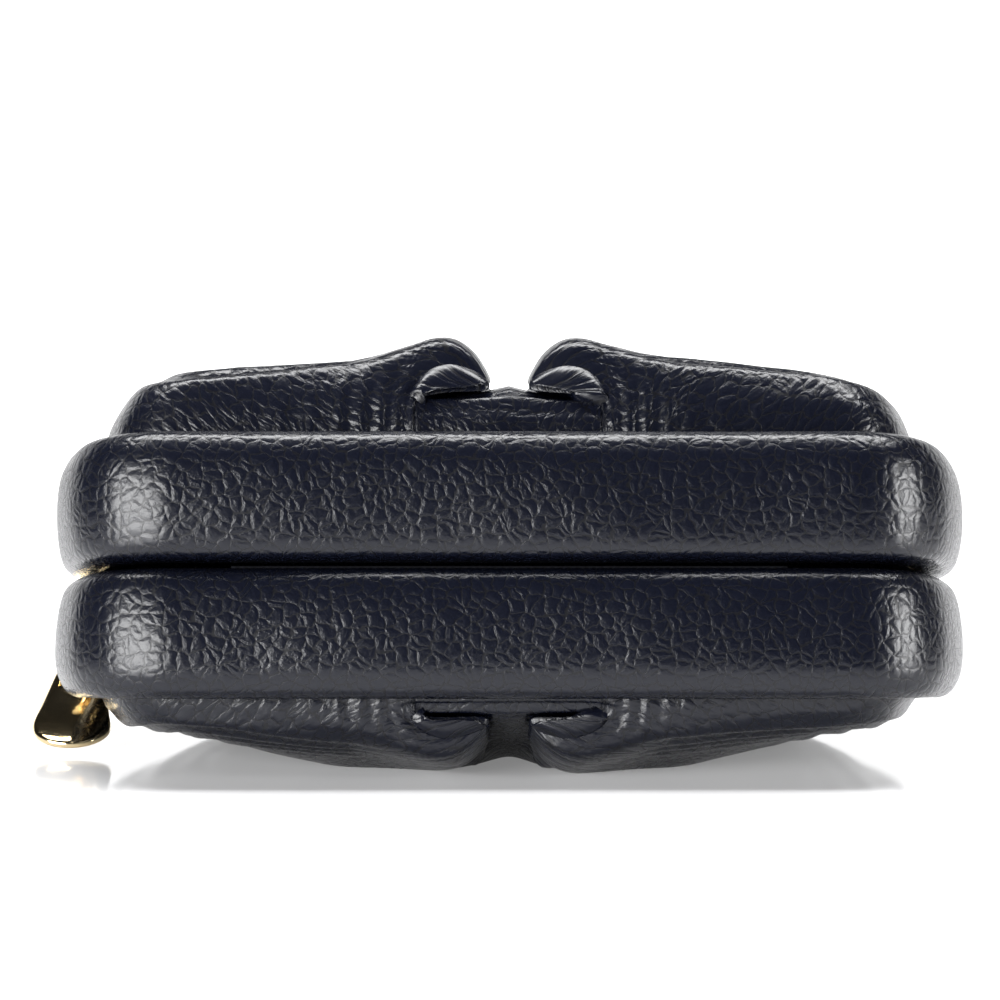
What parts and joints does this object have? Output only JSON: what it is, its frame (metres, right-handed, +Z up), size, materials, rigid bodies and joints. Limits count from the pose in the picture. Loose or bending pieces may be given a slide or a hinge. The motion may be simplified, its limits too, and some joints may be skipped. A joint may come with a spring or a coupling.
{
  "type": "coin purse",
  "caption": "Half-moon zipped coin purse of pebbled leather, with two padded bands round the edge, pleated front and back panels, a cloth lining and a teardrop zip pull.",
  "frame": {"origin": "centre of the flat patch of the back panel that the purse rests on, on the middle plane between left and right", "axes": "+X across the purse, +Y from the sewn bottom edge towards the top of the zip, +Z up out of the surface it lies on"},
  "size_m": [0.1224, 0.0891, 0.0549],
  "materials": {
    "leather": "glossy pebbled navy-black leather",
    "foam": "open-cell foam and fibre padding",
    "lining_cloth": "fine woven lining cloth",
    "zip_tape_cloth": "herringbone woven zip tape",
    "zip_metal": "polished brass teeth",
    "polished_gold": "polished pale gold plating"
  },
  "bodies": {
    "back_half": {"back_panel": "leather", "back_panel_foam": "foam", "back_band": "leather", "back_band_foam": "foam", "back_lining": "lining_cloth", "back_zip_tape": "zip_tape_cloth", "back_zip_teeth": "zip_metal", "back_top_stop": "zip_metal", "bottom_stop": "zip_metal", "bottom_binding": "zip_tape_cloth", "zip_end_tab_left": "leather", "zip_end_tab_right": "leather"},
    "front_half": {"front_panel": "leather", "front_panel_foam": "foam", "front_band": "leather", "front_band_foam": "foam", "front_lining": "lining_cloth", "front_zip_tape": "zip_tape_cloth", "front_zip_teeth": "zip_metal", "front_top_stop": "zip_metal"},
    "slider": {"slider_body": "polished_gold", "slider_bridge": "polished_gold"},
    "link": {"pull_link": "polished_gold"},
    "pull": {"zip_pull": "polished_gold"}
  },
  "joints": [
    {"name": "mouth_open", "type": "hinge", "parent": "back_half", "child": "front_half", "pos_m": [0, -0.038, 0.0285], "axis": [1, 0, 0], "range_deg": [0, 28]},
    {"name": "zip_travel", "type": "hinge", "parent": "back_half", "child": "slider", "pos_m": [0, -0.01051, 0.02316], "axis": [0, -0.1908, -0.9816], "range_deg": [0, 132], "deforming": ["front_zip_teeth", "back_zip_teeth"]},
    {"name": "link_swing", "type": "hinge", "parent": "slider", "child": "link", "pos_m": [-0.05778, 0.01474, 0.01825], "axis": [0.4067, 0.8968, -0.1743], "range_deg": [0, 120]},
    {"name": "pull_swing", "type": "hinge", "parent": "link", "child": "pull", "pos_m": [-0.05824, 0.01321, 0.00933], "axis": [-1, 0, 0], "range_deg": [-60, 0]}
  ]
}
